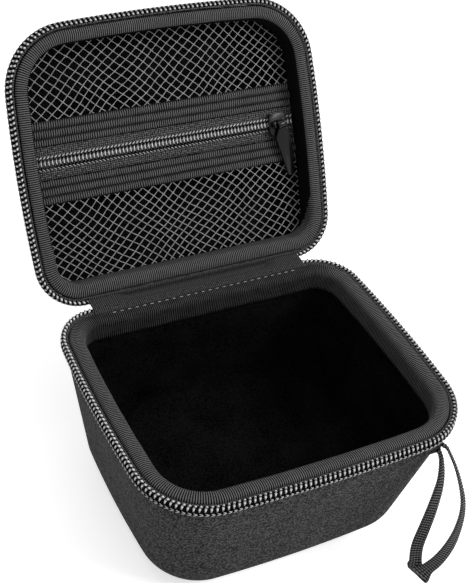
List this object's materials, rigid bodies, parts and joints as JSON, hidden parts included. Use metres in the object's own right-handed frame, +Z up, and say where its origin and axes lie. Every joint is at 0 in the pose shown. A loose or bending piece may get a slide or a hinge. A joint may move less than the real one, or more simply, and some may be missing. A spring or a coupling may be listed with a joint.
{
  "type": "electric shaver hard case",
  "caption": "Open zip-up hard case for an electric shaver: deep moulded base, shallow hinged lid with a zipped mesh pocket, ribbed rim bindings and a wrist strap.",
  "frame": {"origin": "in the flat underside of the base, below the middle of the case's outline", "axes": "+X along the hinge towards the wrist strap's side, +Y from the front towards the hinge, +Z up; the lid is stored open"},
  "size_m": [0.15, 0.2258, 0.1792],
  "materials": {
    "shell_cloth": "matte",
    "lining_cloth": "satin",
    "ribbed_cloth": "matte",
    "zip_tape": "matte",
    "zip_coil": "satin",
    "hinge_cloth": "matte",
    "net": "satin",
    "slider_metal": "gloss",
    "webbing": "matte"
  },
  "bodies": {
    "base": {"base_shell": "shell_cloth", "base_lining": "lining_cloth", "base_binding": "ribbed_cloth", "base_zipper_tape": "zip_tape", "base_zipper_coil": "zip_coil", "hinge_inner_base_leaf": "hinge_cloth", "hinge_outer_base_leaf": "hinge_cloth", "strap_anchor": "webbing", "wrist_strap": "webbing"},
    "lid": {"lid_shell": "shell_cloth", "lid_lining": "lining_cloth", "lid_binding": "ribbed_cloth", "lid_zipper_tape": "zip_tape", "lid_zipper_coil": "zip_coil", "hinge_inner_lid_leaf": "hinge_cloth", "hinge_outer_lid_leaf": "hinge_cloth", "pocket_upper_zip_tape": "zip_tape", "pocket_upper_zip_coil": "zip_coil", "pocket_upper_band": "ribbed_cloth", "pocket_upper_mesh": "net", "pocket_lower_zip_tape": "zip_tape", "pocket_lower_zip_coil": "zip_coil", "pocket_lower_band": "ribbed_cloth", "pocket_lower_mesh": "net"},
    "pocket_slider": {"pocket_slider": "slider_metal"},
    "pocket_puller": {"pocket_puller": "slider_metal"},
    "left_slider": {"left_slider": "slider_metal"},
    "left_puller": {"left_puller": "slider_metal"},
    "right_slider": {"right_slider": "slider_metal"},
    "right_puller": {"right_puller": "slider_metal"}
  },
  "joints": [
    {"name": "lid_hinge", "type": "hinge", "parent": "base", "child": "lid", "pos_m": [0, 0.063, 0.072], "axis": [-1, 0, 0], "range_deg": [-120, 0]},
    {"name": "pocket_zip_slide", "type": "slide", "parent": "lid", "child": "pocket_slider", "axis": [1, 0, 0], "range_m": [-0.115, 0]},
    {"name": "pocket_puller_swing", "type": "hinge", "parent": "pocket_slider", "child": "pocket_puller", "pos_m": [0.0555, 0.10214, 0.12399], "axis": [-1, 0, 0], "range_deg": [0, 100]},
    {"name": "left_zip_slide", "type": "slide", "parent": "base", "child": "left_slider", "axis": [-1, 0, 0], "range_m": [0, 0.006]},
    {"name": "left_puller_swing", "type": "hinge", "parent": "left_slider", "child": "left_puller", "pos_m": [-0.0458, 0.0655, 0.0674], "axis": [1, 0, 0], "range_deg": [-10, 70]},
    {"name": "right_zip_slide", "type": "slide", "parent": "base", "child": "right_slider", "axis": [1, 0, 0], "range_m": [0, 0.006]},
    {"name": "right_puller_swing", "type": "hinge", "parent": "right_slider", "child": "right_puller", "pos_m": [0.0458, 0.0655, 0.0674], "axis": [1, 0, 0], "range_deg": [-10, 70]}
  ]
}
